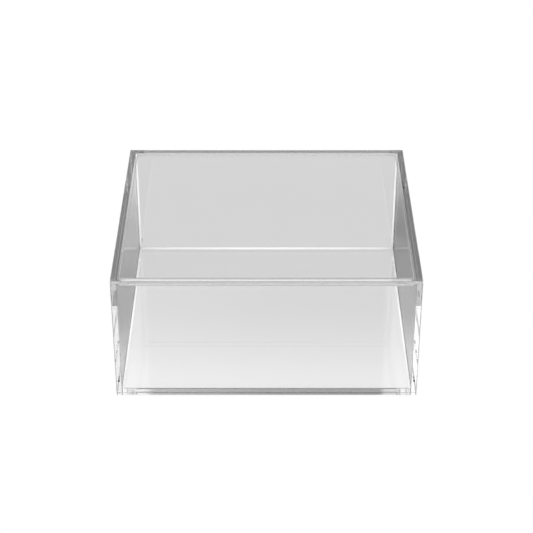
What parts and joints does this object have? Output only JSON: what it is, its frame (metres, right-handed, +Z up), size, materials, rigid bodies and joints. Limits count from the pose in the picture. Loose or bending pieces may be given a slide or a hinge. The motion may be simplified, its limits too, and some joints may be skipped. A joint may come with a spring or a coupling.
{
  "type": "storage box with lid",
  "caption": "Clear acrylic storage box with straight sheet walls, a stepped base and a flush lift-off lid that locates between the walls.",
  "frame": {"origin": "middle of the underside of the base plate", "axes": "+X along the width to the right seen from the front, +Y along the depth from front to back, +Z up"},
  "size_m": [0.2, 0.18, 0.09],
  "materials": {
    "clear_acrylic": "clear acrylic sheet, polished faces and edges",
    "lid_acrylic": "clear acrylic sheet, polished faces and edges",
    "pin_steel": "plain steel pin, ends cut flush"
  },
  "bodies": {
    "box": {"base_plate": "clear_acrylic", "floor_plate": "clear_acrylic", "front_wall": "clear_acrylic", "back_wall": "clear_acrylic", "left_wall": "clear_acrylic", "right_wall": "clear_acrylic", "corner_pins": "pin_steel"},
    "lid": {"lid_cover": "lid_acrylic", "lid_locator": "lid_acrylic"}
  },
  "joints": [
    {"name": "lid_lift", "type": "slide", "parent": "box", "child": "lid", "axis": [0, 0, 1], "range_m": [0, 0.1]}
  ]
}
